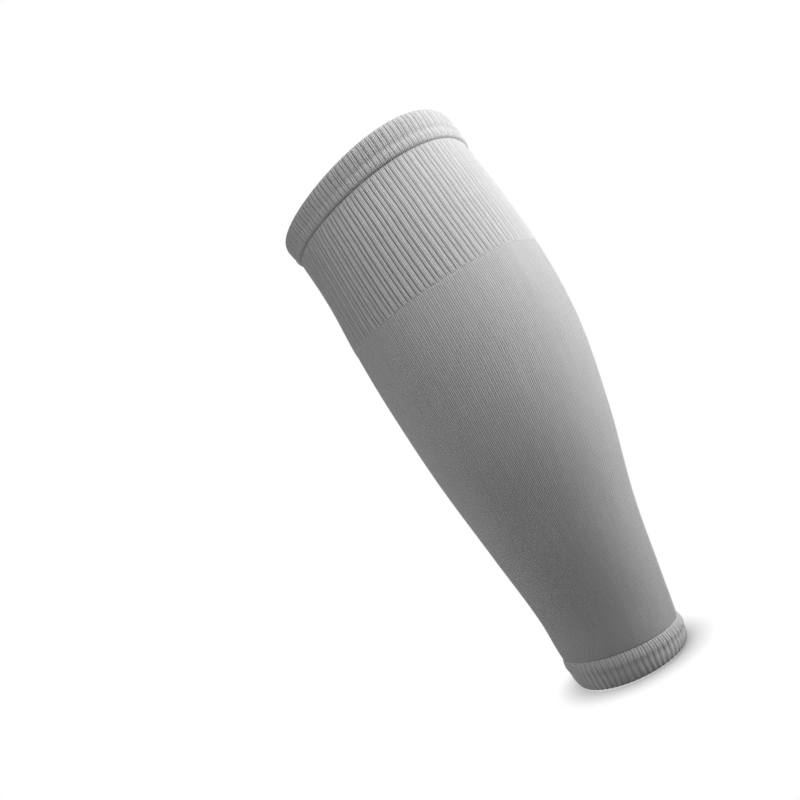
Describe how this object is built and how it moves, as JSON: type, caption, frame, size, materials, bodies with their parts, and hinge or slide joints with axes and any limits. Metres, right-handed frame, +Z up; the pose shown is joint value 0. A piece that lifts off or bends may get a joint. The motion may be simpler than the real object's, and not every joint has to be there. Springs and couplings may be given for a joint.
{
  "type": "football leg sleeve",
  "caption": "Footless grey knitted football leg sleeve in its worn form: turned welt, ribbed cuff under the knee, plain calf tube and thick ribbed ankle cuff.",
  "frame": {"origin": "on the leg's centreline inside the sleeve, at the level where the calf is thickest", "axes": "+Z up the leg to the knee end, +X to the calf, -X to the shin, Y from side to side"},
  "size_m": [0.1262, 0.1234, 0.3025],
  "materials": {
    "welt_knit": "matt light grey double knit with flat ribs",
    "rib_knit": "matt light grey rib knit of wide and narrow ribs",
    "plain_knit": "matt light grey plain knit with fine upright lines",
    "ankle_knit": "matt light grey padded rib knit"
  },
  "bodies": {
    "root": {"top_welt": "welt_knit", "rib_cuff": "rib_knit", "calf_tube": "plain_knit", "ankle_cuff": "ankle_knit"}
  },
  "joints": []
}
